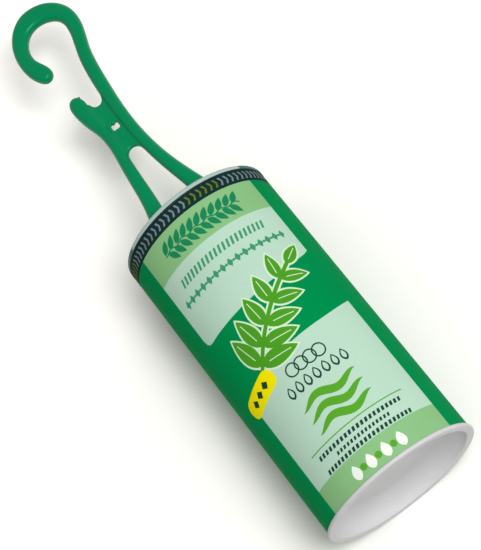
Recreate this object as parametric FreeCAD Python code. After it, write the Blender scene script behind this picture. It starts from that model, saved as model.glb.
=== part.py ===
import FreeCAD, Part
import math
import os

# Lint roller with a hook handle, stored under a printed tubular cover.
#
# Frame: millimetres, +Z up.  The part lies on its side on the plane Z = 0, with its origin under
# the middle of its length.  The roll turns about a line along X, +X points at the hanging hook,
# and the small side hook is on the +Y side.
#
# The functions below work in a simpler frame: X runs along the roll's axis from 0 at the plane of
# the cover's base ring, and the flat handle lies in the plane Z = 0.  The export moves every piece
# by the same step from there to the part's own frame.

# ---- driving dimensions -----------------------------------------------------------------------

# refill: sixty adhesive sheets wound on a cardboard core
roll_width = 100.0
core_bore_radius = 19.0
core_wall = 1.2
core_fit = 0.05
roll_thickness = 6.2
sheet_thickness = 0.2
sheet_gap = 0.02
tab_angle = 14.0
tab_lift = 0.28
tab_width = 34.0

# cover: a stiff tube with a curled mouth, a printed label and a dished plug in its base
roll_clearance = 0.3
tube_wall = 1.6
label_thickness = 0.17
label_gap = 0.03
label_end_gap = 0.1
rim_rise = 0.1
rim_length = 2.1
rim_round = 0.9
mouth_step = 0.8

plug_overhang = 0.9
plug_lip_thickness = 1.4
plug_lip_round = 0.55
plug_rim_width = 3.1
plug_spigot_length = 9.0
plug_spigot_wall = 1.5
plug_fit = 0.03
dish_depth = 7.2
dish_skin = 1.3
dish_shoulder = 9.0
dish_back_length = 3.3
dish_back_rise = 3.0
base_clearance = 3.4

# end flange: closes the mouth of the cover and carries the handle and the spindle
flange_recess = 0.7
flange_thickness = 2.0
flange_running_gap = 0.05
flange_seat_gap = 0.05
skirt_length = 3.0
skirt_wall = 1.4
boss_length = 8.0
boss_wall = 1.8
gusset_count = 6
gusset_thickness = 1.2
gusset_height = 2.0
collar_height = 3.0
collar_wall = 1.3
collar_gap = 0.15

# spindle: a hollow axle with snap fingers
spindle_radius = 6.0
spindle_wall = 1.5
spindle_fit = 0.03
finger_slot_width = 1.6
finger_slot_length = 16.0
barb_height = 0.9
barb_length = 2.2

# roller hub and its end cap
hub_running_gap = 0.06
hub_end_gap = 0.4
hub_rib_height = 0.75
hub_sleeve_wall = 1.4
hub_bearing_wall = 1.5
hub_web_count = 6
hub_web_thickness = 1.2
hub_web_inset = 4.0
hub_rib_count = 12
hub_rib_width = 1.6
hub_collar_thickness = 1.2
cap_thickness = 1.6
cap_dish_radius = 13.0
cap_dish_depth = 0.8
cap_spigot_length = 5.0
cap_spigot_wall = 1.2
cap_fit = 0.05
refill_skirt_gap = 0.8

# handle: a flat moulding of two rounded strands joined by a thin web.  Distances are measured
# from the flange's outer face, and the waist is where the two strands run closest together.
strand_thickness = 4.6
strand_round = 2.05
web_thickness = 1.8
web_overlap = 0.7
foot_inner = 8.0
foot_outer = 17.5
foot_inner_lean = 0.22
foot_outer_lean = 0.46
leg_bend_distance = 14.0
leg_bend_outer = 12.2
leg_bend_inner = 5.7
leg_end_before_waist = 18.0
leg_end_rise = 1.1
waist_center_y = 1.1
waist_half_width = 7.05
waist_distance = 52.0
rail_inner_half = 2.3
rail_inner_rise = 0.95
crotch_distance = 40.3
crotch_radius = 2.9
notch_distance = 62.5
notch_radius = 2.5
window_distance = 51.3
window_side = 2.9
window_corner = 0.5
window_nib = 0.5
side_hook_reach = 71.2
side_hook_length = 4.5
side_hook_rise = 2.5
side_hook_width = 6.4
side_nib_radius = 0.65
stem_bends = (
    # share of the way from the waist to the eye, drop of the inner edge below the rail, width
    (0.43, 0.9, 5.5),
    (0.73, 3.4, 5.5),
)
hook_reach = 113.7
hook_eye_center_y = 1.0
hook_eye_half_width = 8.45
hook_eye_top_length = 9.5
hook_eye_bottom_length = 7.3
hook_crown_width = 8.1
hook_strand_width = 6.1
hook_back_length = 18.6
hook_front_length = 14.1
hook_tip_from_crown = 30.2
hook_tip_radius = 3.2
hook_tip_center_y = 10.05
tongue_width = 6.5
tongue_thickness = 2.4
tongue_barb = 0.5
tongue_barb_length = 1.2
tongue_gap = 0.1

# curves are laid out as runs of circular arcs that stay this close to them
arc_tolerance = 0.08

# ---- sizes that follow from the driving dimensions ----------------------------------------------

core_radius = core_bore_radius + core_wall
roll_radius = core_radius + roll_thickness
sheet_radius = roll_radius + sheet_gap + sheet_thickness
bore_radius = sheet_radius + tab_lift + roll_clearance
tube_radius = bore_radius + tube_wall
label_radius = tube_radius + label_gap + label_thickness
rim_radius = label_radius + rim_rise
mouth_step_radius = bore_radius + mouth_step
plug_lip_radius = tube_radius + plug_overhang

dish_back_x = dish_depth + dish_skin
cap_start_x = dish_back_x + base_clearance
roll_start_x = cap_start_x + cap_thickness
roll_end_x = roll_start_x + roll_width
skirt_end_x = roll_end_x + refill_skirt_gap
flange_back_x = skirt_end_x + skirt_length
flange_front_x = flange_back_x + flange_thickness
cover_length = flange_front_x + flange_recess
flange_radius = mouth_step_radius - flange_running_gap
skirt_radius = bore_radius - flange_running_gap
boss_end_x = flange_back_x - boss_length
boss_bore_radius = spindle_radius + spindle_fit
boss_radius = boss_bore_radius + boss_wall

hub_start_x = roll_start_x
hub_rib_radius = core_bore_radius - core_fit
hub_sleeve_radius = hub_rib_radius - hub_rib_height
bearing_end_x = boss_end_x - hub_end_gap
hub_end_x = roll_end_x + hub_collar_thickness
bearing_start_x = hub_start_x + hub_web_inset + barb_length
hub_bore_radius = spindle_radius + hub_running_gap
hub_bearing_radius = hub_bore_radius + hub_bearing_wall
spindle_start_x = bearing_start_x - hub_end_gap - barb_length

overall_length = flange_front_x + hook_reach


# ---- shared helpers -----------------------------------------------------------------------------

def vec(x, y, z=0.0):
    return FreeCAD.Vector(x, y, z)


def turned(outline):
    """Solid of revolution about the X axis; the outline is a list of (x, radius) points."""
    points = [vec(x, radius) for x, radius in outline]
    face = Part.Face(Part.makePolygon(points + [points[0]]))
    return face.revolve(vec(0, 0), vec(1, 0), 360)


def ring(start_x, end_x, inner_radius, outer_radius):
    """Plain tube about the X axis."""
    return turned([
        (start_x, inner_radius),
        (end_x, inner_radius),
        (end_x, outer_radius),
        (start_x, outer_radius),
    ])


def block(x_span, y_span, z_span):
    """Box between two values on each axis."""
    size = (x_span[1] - x_span[0], y_span[1] - y_span[0], z_span[1] - z_span[0])
    return Part.makeBox(*size, vec(x_span[0], y_span[0], z_span[0]))


def around_axis(shape, count):
    """Copies of a shape, evenly spaced about the X axis."""
    copies = []
    for index in range(count):
        copy = shape.copy()
        copy.rotate(vec(0, 0), vec(1, 0), 360.0 * index / count)
        copies.append(copy)
    return copies


def eased_corner(x, radius, ease, faces_forward):
    """Outer corner of a turned outline, rounded off in two flats; the points run towards the rim."""
    inward = -ease if faces_forward else ease
    middle = ease * (1 - math.sqrt(0.5))
    return [
        (x, radius - ease),
        (x + inward * (1 - math.sqrt(0.5)), radius - middle),
        (x + inward, radius),
    ]


def arcs_along(curve):
    """Edges of the circular arcs that follow a smooth curve."""
    return [arc.toShape() for arc in curve.toBiArcs(arc_tolerance)]


def spline(points, start_tangent, end_tangent):
    """Smooth run of arcs through a few points, with a set direction at each end."""
    curve = Part.BSplineCurve()
    vectors = [vec(*point) for point in points]
    tangents = [vec(0, 0)] * len(vectors)
    tangents[0] = vec(*start_tangent).normalize()
    tangents[-1] = vec(*end_tangent).normalize()
    flags = [index in (0, len(vectors) - 1) for index in range(len(vectors))]
    curve.interpolate(Points=vectors, Tangents=tangents, TangentFlags=flags)
    return arcs_along(curve)


def quarter_turn(start, end, leaves_along_x):
    """Quarter of an ellipse, as arcs, between two points whose tangents run along X and Y."""
    corner = (end[0], start[1]) if leaves_along_x else (start[0], end[1])
    curve = Part.BSplineCurve()
    curve.buildFromPolesMultsKnots(
        [vec(*start), vec(*corner), vec(*end)], [3, 3], [0.0, 1.0], False, 2,
        [1.0, math.sqrt(0.5), 1.0])
    return arcs_along(curve)


# ---- cover --------------------------------------------------------------------------------------

def cover_tube():
    """Stiff tube with a curled rim round its mouth and a step that seats the end flange."""
    start_x = plug_lip_thickness
    rim_start_x = cover_length - rim_length
    step_x = flange_back_x - flange_seat_gap
    outline = [
        (start_x, bore_radius),
        (step_x, bore_radius),
        (step_x, mouth_step_radius),
        (cover_length, mouth_step_radius),
    ]
    outline += eased_corner(cover_length, rim_radius, rim_round, True)
    outline += [
        (rim_start_x, rim_radius),
        (rim_start_x, tube_radius),
        (start_x, tube_radius),
    ]
    return turned(outline)


def base_plug():
    """Moulded plug: a rounded lip, a spigot inside the tube and a smooth dish."""
    spigot_radius = bore_radius - plug_fit
    inside_radius = spigot_radius - plug_spigot_wall
    mouth_radius = plug_lip_radius - plug_rim_width
    form = [(0.0, 0.0)]
    form += eased_corner(0.0, plug_lip_radius, plug_lip_round, False)
    form += [
        (plug_lip_thickness, plug_lip_radius),
        (plug_lip_thickness, spigot_radius),
        (plug_spigot_length, spigot_radius),
        (plug_spigot_length, inside_radius),
        (dish_back_x - dish_back_length, inside_radius),
        (dish_back_x, mouth_radius - dish_shoulder + dish_back_rise),
        (dish_back_x, 0.0),
    ]
    return turned(form).cut(dish_hollow(mouth_radius))


def dish_hollow(mouth_radius):
    """Filled form of the dish's hollow: an eased mouth and an arc that runs into the flat floor."""
    floor_radius = mouth_radius - dish_shoulder
    wall_depth = dish_depth - plug_lip_round
    arc_radius = (wall_depth ** 2 + dish_shoulder ** 2) / (2 * wall_depth)
    half_turn = math.atan2(wall_depth, dish_shoulder)
    middle_x = dish_depth - arc_radius * (1 - math.cos(half_turn))
    middle = vec(middle_x, floor_radius + arc_radius * math.sin(half_turn))
    wall = Part.Arc(vec(plug_lip_round, mouth_radius), middle, vec(dish_depth, floor_radius))
    outline = [
        wall.toShape(),
        Part.makeLine(vec(dish_depth, floor_radius), vec(dish_depth, 0.0)),
        Part.makeLine(vec(dish_depth, 0.0), vec(0.0, 0.0)),
        Part.makeLine(vec(0.0, 0.0), vec(0.0, mouth_radius + plug_lip_round)),
        Part.makeLine(vec(0.0, mouth_radius + plug_lip_round), vec(plug_lip_round, mouth_radius)),
    ]
    face = Part.Face(Part.Wire(Part.__sortEdges__(outline)))
    return face.revolve(vec(0, 0), vec(1, 0), 360)


def label_sleeve():
    """Printed label round the tube, between the plug's lip and the curled rim."""
    start_x = plug_lip_thickness + label_end_gap
    end_x = cover_length - rim_length - label_end_gap
    return ring(start_x, end_x, tube_radius + label_gap, label_radius)


# ---- handle side --------------------------------------------------------------------------------

def tongue(side, gap):
    """Snap tongue under one leg, or with a gap the slot that it passes through."""
    middle_y = side * (foot_inner + foot_outer) / 2
    half_width = tongue_width / 2 + gap
    half_thickness = tongue_thickness / 2 + gap
    end_x = flange_back_x - tongue_gap - tongue_barb_length - gap
    return block((end_x, flange_front_x), (middle_y - half_width, middle_y + half_width),
                 (-half_thickness, half_thickness))


def tongue_barbs(side):
    """Wedges on both faces of a tongue that hook behind the flange."""
    middle_y = side * (foot_inner + foot_outer) / 2
    catch_x = flange_back_x - tongue_gap
    tip_x = catch_x - tongue_barb_length
    half = tongue_thickness / 2
    corners = [
        vec(catch_x, 0, -half - tongue_barb),
        vec(catch_x, 0, half + tongue_barb),
        vec(tip_x, 0, half),
        vec(tip_x, 0, -half),
    ]
    face = Part.Face(Part.makePolygon(corners + [corners[0]]))
    face.translate(vec(0, middle_y - tongue_width / 2, 0))
    return face.extrude(vec(0, tongue_width, 0))


def leg_collar(side):
    """Raised socket wall on the flange round the foot of one leg."""
    inner = collar_gap + strand_thickness / 2
    y_low = foot_inner - collar_height * foot_inner_lean - collar_gap
    y_high = foot_outer + collar_gap
    x_span = (flange_front_x - flange_thickness / 2, flange_front_x + collar_height)
    outer = block(x_span, (y_low - collar_wall, y_high + collar_wall),
                  (-inner - collar_wall, inner + collar_wall))
    corners = [edge for edge in outer.Edges if abs(edge.tangentAt(0).x) > 0.9]
    outer = outer.makeFillet(collar_wall, corners)
    hole = block((flange_front_x, x_span[1]), (y_low, y_high), (-inner, inner))
    wall = outer.cut(hole)
    if side < 0:
        wall.rotate(vec(0, 0), vec(1, 0), 180)
    return wall


def end_flange():
    """Disc that closes the cover's mouth, with a skirt, a spindle boss, gussets and leg sockets."""
    outline = [(flange_back_x, 0.0), (flange_front_x, 0.0)]
    outline += eased_corner(flange_front_x, flange_radius, flange_thickness / 4, True)
    disc = turned(outline + [(flange_back_x, flange_radius)])
    skirt = ring(skirt_end_x, flange_back_x, skirt_radius - skirt_wall, skirt_radius)
    boss = ring(boss_end_x, flange_back_x, boss_bore_radius, boss_radius)
    gusset = block((flange_back_x - gusset_height, flange_back_x),
                   (boss_radius - boss_wall / 2, skirt_radius - skirt_wall / 2),
                   (-gusset_thickness / 2, gusset_thickness / 2))
    gusset.rotate(vec(0, 0), vec(1, 0), 180.0 / gusset_count)
    flange = disc.fuse([skirt, boss] + around_axis(gusset, gusset_count))
    flange = flange.fuse([leg_collar(1), leg_collar(-1)])
    slots = [tongue(side, tongue_gap) for side in (1, -1)]
    return flange.cut(slots).removeSplitter()


def axle_spindle():
    """Hollow axle pressed into the flange's boss, with four snap fingers and barbs."""
    inner = spindle_radius - spindle_wall
    barb_x = spindle_start_x + barb_length
    axle = turned([
        (flange_back_x, inner),
        (flange_back_x, spindle_radius),
        (barb_x, spindle_radius),
        (barb_x, spindle_radius + barb_height),
        (spindle_start_x + barb_length / 2, spindle_radius + barb_height),
        (spindle_start_x, spindle_radius),
        (spindle_start_x, inner),
    ])
    reach = 2 * spindle_radius
    half = finger_slot_width / 2
    slot_span = (spindle_start_x - 1, spindle_start_x + finger_slot_length)
    slots = [
        block(slot_span, (-reach, reach), (-half, half)),
        block(slot_span, (-half, half), (-reach, reach)),
    ]
    return axle.cut(slots)


def leg_outer_points(side):
    """Outer edge of one leg from its foot to the waist."""
    waist_x = flange_front_x + waist_distance
    waist_y = waist_center_y + side * waist_half_width
    return [
        (flange_front_x, side * foot_outer),
        (flange_front_x + leg_bend_distance, side * leg_bend_outer),
        (waist_x - leg_end_before_waist, waist_y + side * leg_end_rise),
        (waist_x, waist_y),
    ]


def leg_inner_points(side):
    """Inner edge of one leg from the waist back to its foot."""
    waist_x = flange_front_x + waist_distance
    waist_y = waist_center_y + side * rail_inner_half
    return [
        (waist_x, waist_y),
        (waist_x - leg_end_before_waist, waist_y + side * rail_inner_rise),
        (flange_front_x + leg_bend_distance, side * leg_bend_inner),
        (flange_front_x, side * foot_inner),
    ]


def foot_line(side):
    """Edge of one leg where its foot stands on the flange."""
    return Part.makeLine(vec(flange_front_x, side * foot_inner), vec(flange_front_x, side * foot_outer))


def hook_strand():
    """Outline of the long strand: one leg, the stem and the hanging hook."""
    crown_x = flange_front_x + hook_reach
    eye_end_x = crown_x - hook_crown_width
    eye_low_y = hook_eye_center_y - hook_eye_half_width
    eye_high_y = hook_eye_center_y + hook_eye_half_width
    tip_x = crown_x - hook_tip_from_crown
    waist_x = flange_front_x + waist_distance
    rail_y = waist_center_y - rail_inner_half
    stem_length = eye_end_x - hook_eye_bottom_length - waist_x
    stem_inner = [(waist_x + share * stem_length, rail_y - drop) for share, drop, width in stem_bends]
    stem_outer = [(x, y - width) for (x, y), (share, drop, width) in zip(stem_inner, stem_bends)]

    low_outer = (crown_x - hook_front_length, eye_low_y - hook_strand_width)
    crown = (crown_x, hook_eye_center_y)
    high_outer = (crown_x - hook_back_length, eye_high_y + hook_strand_width)
    tip_side = (tip_x, hook_tip_center_y)
    tip_bottom = (tip_x + hook_tip_radius, hook_tip_center_y - hook_tip_radius)
    high_inner = (eye_end_x - hook_eye_top_length, eye_high_y)
    eye_end = (eye_end_x, hook_eye_center_y)
    low_inner = (eye_end_x - hook_eye_bottom_length, eye_low_y)
    lip_x = (tip_bottom[0] + high_inner[0]) / 2
    lip_y = (tip_bottom[1] + high_inner[1]) / 2
    outer_edge = leg_outer_points(-1) + stem_outer + [low_outer]
    inner_edge = [low_inner] + stem_inner[::-1] + leg_inner_points(-1)
    runs = [
        spline(outer_edge, (1, foot_outer_lean), (1, 0)),
        quarter_turn(low_outer, crown, True),
        quarter_turn(crown, high_outer, False),
        quarter_turn(high_outer, tip_side, True),
        quarter_turn(tip_side, tip_bottom, False),
        spline([tip_bottom, (lip_x, lip_y), high_inner], (1, 0), (1, 0)),
        quarter_turn(high_inner, eye_end, True),
        quarter_turn(eye_end, low_inner, False),
        spline(inner_edge, (-1, 0), (-1, -foot_inner_lean)),
    ]
    return sum(runs, [foot_line(-1)])


def side_strand():
    """Outline of the short strand: the other leg, its rail and the small side hook."""
    end_x = flange_front_x + side_hook_reach
    top_y = waist_center_y + waist_half_width + side_hook_rise
    top = (end_x - side_hook_length, top_y)
    end = (end_x, top_y - side_hook_width / 2)
    under = (end_x - side_hook_length, top_y - side_hook_width)
    runs = [
        spline(leg_outer_points(1) + [top], (1, -foot_outer_lean), (1, 0)),
        quarter_turn(top, end, True),
        quarter_turn(end, under, False),
        spline([under] + leg_inner_points(1), (-1, 0), (-1, foot_inner_lean)),
    ]
    return sum(runs, [foot_line(1)])


def rounded_strand(edges):
    """Strand of constant thickness with its long edges rounded; its foot stays square."""
    face = Part.Face(Part.Wire(Part.__sortEdges__(edges)))
    face.translate(vec(0, 0, -strand_thickness / 2))
    solid = face.extrude(vec(0, 0, strand_thickness))
    rounded = []
    for edge in solid.Edges:
        box = edge.BoundBox
        flat = box.ZLength < 1e-6
        at_foot = box.XLength < 1e-6
        if flat and not at_foot:
            rounded.append(edge)
    return solid.makeFillet(strand_round, rounded)


def handle_web():
    """Thin web between the rails, hollowed at the fork and at the notch, with a small window."""
    low_y = waist_center_y - rail_inner_half - web_overlap
    high_y = waist_center_y + rail_inner_half + web_overlap
    half = web_thickness / 2
    fork_center_x = flange_front_x + crotch_distance - crotch_radius
    notch_center_x = flange_front_x + notch_distance + notch_radius
    plate = block((fork_center_x, notch_center_x), (low_y, high_y), (-half, half))
    rounds = []
    for center_x, radius in ((fork_center_x, crotch_radius), (notch_center_x, notch_radius)):
        rounds.append(Part.makeCylinder(radius, web_thickness, vec(center_x, waist_center_y, -half)))
    window_x = flange_front_x + window_distance
    side = window_side / 2
    window = block((window_x - side, window_x + side),
                   (waist_center_y - side, waist_center_y + side), (-half, half))
    upright = [edge for edge in window.Edges if edge.BoundBox.ZLength > half]
    window = window.makeFillet(window_corner, upright)
    nib = Part.makeCylinder(window_nib, web_thickness, vec(window_x + side, waist_center_y, -half))
    return plate.cut(rounds + [window.cut(nib)])


def hook_handle():
    """The whole green moulding: hook strand, side strand, web and the snap tongues."""
    nib_x = flange_front_x + side_hook_reach - side_nib_radius
    nib_y = waist_center_y + waist_half_width + side_hook_rise - side_hook_width * 0.7
    nib = Part.makeSphere(side_nib_radius, vec(nib_x, nib_y, 0))
    parts = [rounded_strand(side_strand()), handle_web(), nib]
    for side in (1, -1):
        parts.append(tongue(side, 0.0))
        parts.append(tongue_barbs(side))
    return rounded_strand(hook_strand()).fuse(parts).removeSplitter()


# ---- roller -------------------------------------------------------------------------------------

def roller_hub():
    """Sleeve on webs round a bearing tube, with grip ribs and a collar that stops the refill."""
    sleeve = ring(hub_start_x, hub_end_x, hub_sleeve_radius - hub_sleeve_wall, hub_sleeve_radius)
    bearing = ring(bearing_start_x, bearing_end_x, hub_bore_radius, hub_bearing_radius)
    inner_y = hub_bearing_radius - hub_bearing_wall / 2
    outer_y = hub_sleeve_radius - hub_sleeve_wall / 2
    half_web = hub_web_thickness / 2
    web = block((bearing_start_x, bearing_end_x), (inner_y, outer_y), (-half_web, half_web))
    half_rib = hub_rib_width / 2
    rib = block((hub_start_x, roll_end_x), (outer_y, hub_rib_radius), (-half_rib, half_rib))
    collar = ring(roll_end_x, hub_end_x, outer_y, core_radius)
    hub = sleeve.fuse([bearing, collar] + around_axis(web, hub_web_count) + around_axis(rib, hub_rib_count))
    return hub.removeSplitter()


def hub_end_cap():
    """Dished cap pressed into the free end of the hub."""
    spigot_radius = hub_sleeve_radius - hub_sleeve_wall - cap_fit
    dish_x = cap_start_x + cap_dish_depth
    outline = [
        (hub_start_x, 0.0),
        (dish_x, 0.0),
        (dish_x, cap_dish_radius),
        (cap_start_x, cap_dish_radius + cap_dish_depth),
    ]
    outline += eased_corner(cap_start_x, hub_sleeve_radius, cap_thickness / 2, False)
    disc = turned(outline + [(hub_start_x, hub_sleeve_radius)])
    spigot_end_x = hub_start_x + cap_spigot_length
    spigot = ring(hub_start_x, spigot_end_x, spigot_radius - cap_spigot_wall, spigot_radius)
    return disc.fuse(spigot).removeSplitter()


def paper_core():
    """Cardboard core of the refill."""
    return ring(roll_start_x, roll_end_x, core_bore_radius, core_radius)


def adhesive_roll():
    """Wound adhesive paper."""
    return ring(roll_start_x, roll_end_x, core_radius, roll_radius)


def outer_sheet():
    """Outermost sheet with a slightly lifted pull tab at its free edge."""
    inner = roll_radius + sheet_gap
    sheet = ring(roll_start_x, roll_end_x, inner, sheet_radius)
    middle_x = (roll_start_x + roll_end_x) / 2
    tab = ring(middle_x - tab_width / 2, middle_x + tab_width / 2,
               sheet_radius - sheet_thickness / 2, sheet_radius + tab_lift)
    sector = Part.makeCylinder(2 * roll_radius, roll_width, vec(roll_start_x, 0), vec(1, 0), tab_angle)
    return sheet.fuse(tab.common(sector)).removeSplitter()


# ---- export -------------------------------------------------------------------------------------

nodes = {
    "hook_handle": hook_handle,
    "end_flange": end_flange,
    "axle_spindle": axle_spindle,
    "roller_hub": roller_hub,
    "hub_end_cap": hub_end_cap,
    "paper_core": paper_core,
    "adhesive_roll": adhesive_roll,
    "outer_sheet": outer_sheet,
    "cover_tube": cover_tube,
    "base_plug": base_plug,
    "label_sleeve": label_sleeve,
}

os.makedirs("parts", exist_ok=True)
for name, build in nodes.items():
    shape = build()
    if len(shape.Solids) != 1 or not shape.isValid():
        raise ValueError(name + " is not one valid solid")
    shape = shape.Solids[0]
    shape.translate(vec(-overall_length / 2, 0, plug_lip_radius))
    shape.exportStep("parts/" + name + ".step")
    box = shape.BoundBox
    print(f"{name}: {shape.Volume / 1000:.2f} cm3, x {box.XMin:.1f} to {box.XMax:.1f}")
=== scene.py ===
"""Lint roller with a hook handle: the dressed model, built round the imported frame."""

import logging
import math
from collections.abc import Callable
from dataclasses import dataclass, field
from enum import Enum

import bmesh
import bpy
from mathutils import Matrix, Vector
from mathutils.geometry import delaunay_2d_cdt


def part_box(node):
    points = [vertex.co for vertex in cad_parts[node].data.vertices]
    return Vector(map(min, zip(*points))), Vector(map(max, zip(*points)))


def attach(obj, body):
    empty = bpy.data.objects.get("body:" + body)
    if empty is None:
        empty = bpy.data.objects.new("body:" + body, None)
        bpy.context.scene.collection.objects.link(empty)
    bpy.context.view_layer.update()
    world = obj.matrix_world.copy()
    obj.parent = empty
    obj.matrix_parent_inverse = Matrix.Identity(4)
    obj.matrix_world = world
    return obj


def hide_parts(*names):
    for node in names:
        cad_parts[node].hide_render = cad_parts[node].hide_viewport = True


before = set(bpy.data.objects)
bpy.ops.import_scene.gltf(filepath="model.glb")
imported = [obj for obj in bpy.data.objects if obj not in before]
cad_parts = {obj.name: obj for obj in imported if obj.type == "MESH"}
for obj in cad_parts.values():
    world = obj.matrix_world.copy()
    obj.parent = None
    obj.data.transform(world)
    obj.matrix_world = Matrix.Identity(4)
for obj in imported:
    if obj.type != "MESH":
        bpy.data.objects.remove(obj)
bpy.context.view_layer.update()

LOG = logging.getLogger("lint_roller")
MM = 0.001
ONLY_INSIDE = 1  # delaunay_2d_cdt then returns only the triangles inside the outlines
Outline = list[tuple[float, float]]
Point = tuple[float, float, float]
Pattern = dict[str, bpy.types.NodeSocket]


class Body(Enum):
    """Bodies of the mechanism that a piece can ride on."""

    HANDLE = "handle"
    ROLLER = "roller"
    COVER = "cover"


class Slot(Enum):
    """Material slots of the record; none of the scene's own pieces takes its finish from them."""

    GREEN = "green_plastic"
    PLUG = "white_plug_plastic"
    TUBE = "cover_plastic"
    HUB = "hub_plastic"
    LABEL = "label_film"


class Ink(Enum):
    """Inks of the printed label, as sRGB hex colours."""

    SIDE = "#008F4E"
    PALE = "#BDDEC8"
    MEDIUM = "#8EC386"
    BAND = "#183234"
    LEAF = "#4FA026"
    OUTLINE = "#D5F2CE"
    BRIGHT = "#5AAA2C"
    YELLOW = "#FFF000"
    DARK = "#1E473A"
    SOFT = "#3F9C70"
    FOREST = "#1D8A58"
    GREY = "#7C8C8E"
    OLIVE = "#637C28"
    WHITE = "#F6FBF2"


# ---- small helpers ------------------------------------------------------------------------------


@dataclass(frozen=True)
class Span:
    """Where a CAD node lies along and round the roll's axis, in millimetres."""

    start: float
    end: float
    radius: float
    axis_z: float


def span_of(node: str) -> Span:
    """Reads a node's place from the frame.

    Args:
        node: name of a CAD node that is round about the roll's axis.

    Returns:
        Its ends along the axis, its largest radius and the axis's height.
    """
    low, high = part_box(node)
    radius = (high.y - low.y) / 2
    return Span(low.x / MM, high.x / MM, radius / MM, (low.z + high.z) / 2 / MM)


def linear(colour: str) -> tuple[float, float, float, float]:
    """Turns an sRGB hex colour to linear RGBA.

    Args:
        colour: hex colour such as "#0B8F52".

    Returns:
        Linear red, green, blue and an alpha of 1.
    """
    parts = [int(colour[i:i + 2], 16) / 255 for i in (1, 3, 5)]
    red, green, blue = ((c / 12.92) if c <= 0.04045 else ((c + 0.055) / 1.055) ** 2.4 for c in parts)
    return (red, green, blue, 1.0)


def add_node(tree: bpy.types.NodeTree, kind: str, inputs: dict | None = None, **settings) -> bpy.types.Node:
    """Adds a node with its settings and links.

    Args:
        tree: node tree that gets the node.
        kind: the node's type name.
        inputs: socket name or index to a value, or to an output socket that is linked to it.
        **settings: the node's own properties.

    Returns:
        The new node.
    """
    node = tree.nodes.new(kind)
    for key, value in settings.items():
        setattr(node, key, value)
    for key, value in (inputs or {}).items():
        socket = node.inputs[key]
        if isinstance(value, bpy.types.NodeSocket):
            tree.links.new(value, socket)
        else:
            socket.default_value = value
    return node


def rounded(corners: list[tuple[float, float, float]], steps: int = 4) -> Outline:
    """Closed outline whose corners are rounded off.

    Args:
        corners: along, across and the corner's own radius, in millimetres.
        steps: straight pieces in each rounded corner.

    Returns:
        The outline's points.
    """
    points = []
    for index, (along, across, radius) in enumerate(corners):
        corner = Vector((along, across))
        if radius <= 0:
            points.append((along, across))
            continue
        back = (Vector(corners[index - 1][:2]) - corner).normalized()
        ahead = (Vector(corners[(index + 1) % len(corners)][:2]) - corner).normalized()
        half = back.angle(ahead) / 2
        centre = corner + (back + ahead).normalized() * (radius / math.sin(half))
        first = corner + back * (radius / math.tan(half)) - centre
        turn = first.angle_signed(corner + ahead * (radius / math.tan(half)) - centre)
        for step in range(steps + 1):
            angle = -turn * step / steps
            points.append(tuple(centre + Matrix.Rotation(angle, 2) @ first))
    return points


def new_object(name: str, mesh: bpy.types.Mesh) -> bpy.types.Object:
    """Puts a mesh into the scene.

    Args:
        name: the object's name.
        mesh: its mesh, with its place in it.

    Returns:
        The object, at the origin.
    """
    piece = bpy.data.objects.new(name, mesh)
    bpy.context.scene.collection.objects.link(piece)
    return piece


def mesh_from(name: str, points: list[Vector], faces: list[list[int]]) -> bpy.types.Mesh:
    """Makes a mesh whose normals point outwards.

    Args:
        name: the mesh's name.
        points: corner points in the part's frame, in millimetres.
        faces: corner indices of each face.

    Returns:
        The mesh, in metres.
    """
    mesh = bpy.data.meshes.new(name)
    mesh.from_pydata([point * MM for point in points], [], faces)
    work = bmesh.new()
    work.from_mesh(mesh)
    bmesh.ops.recalc_face_normals(work, faces=work.faces)
    work.to_mesh(mesh)
    work.free()
    return mesh


def smooth(mesh: bpy.types.Mesh, sharp_degrees: float = 40.0) -> None:
    """Shades a mesh smooth, except across edges sharper than an angle."""
    mesh.polygons.foreach_set("use_smooth", [True] * len(mesh.polygons))
    mesh.set_sharp_from_angle(angle=math.radians(sharp_degrees))


def lathe(name: str, outline: Outline, axis_z: float, segments: int = 180) -> bpy.types.Mesh:
    """Turns a closed outline about the roll's axis.

    Args:
        name: the mesh's name.
        outline: points along the axis and away from it, in millimetres.
        axis_z: height of the axis, in millimetres.
        segments: flats round the axis.

    Returns:
        A closed mesh.
    """
    points, rings = [], []
    for along, away in outline:
        count = segments if away > 1e-6 else 1
        rings.append([len(points) + index for index in range(count)])
        for index in range(count):
            turn = 2 * math.pi * index / segments
            points.append(Vector((along, away * math.sin(turn), axis_z + away * math.cos(turn))))
    faces = []
    for here, there in zip(rings, rings[1:] + rings[:1]):
        if len(here) == len(there) == 1:
            continue
        for index in range(segments):
            after = (index + 1) % segments
            corners = [here[index % len(here)], here[after % len(here)],
                       there[after % len(there)], there[index % len(there)]]
            faces.append(list(dict.fromkeys(corners)))
    mesh = mesh_from(name, points, faces)
    smooth(mesh)
    return mesh


def block(name: str, low: Point, high: Point, edge: float = 0.0) -> bpy.types.Mesh:
    """Box between two corners, in millimetres, with its edges broken by a small bevel.

    Args:
        name: the mesh's name.
        low: lowest corner.
        high: highest corner.
        edge: width of the bevel.

    Returns:
        A closed mesh.
    """
    work = bmesh.new()
    bmesh.ops.create_cube(work, size=1.0)
    for vertex in work.verts:
        vertex.co = [(low[i] + high[i]) / 2 + vertex.co[i] * (high[i] - low[i]) for i in range(3)]
    if edge > 0:
        bmesh.ops.bevel(work, geom=work.edges[:], offset=edge, segments=2, profile=0.5, affect="EDGES")
    bmesh.ops.scale(work, vec=(MM, MM, MM), verts=work.verts)
    mesh = bpy.data.meshes.new(name)
    work.to_mesh(mesh)
    work.free()
    return mesh


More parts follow.
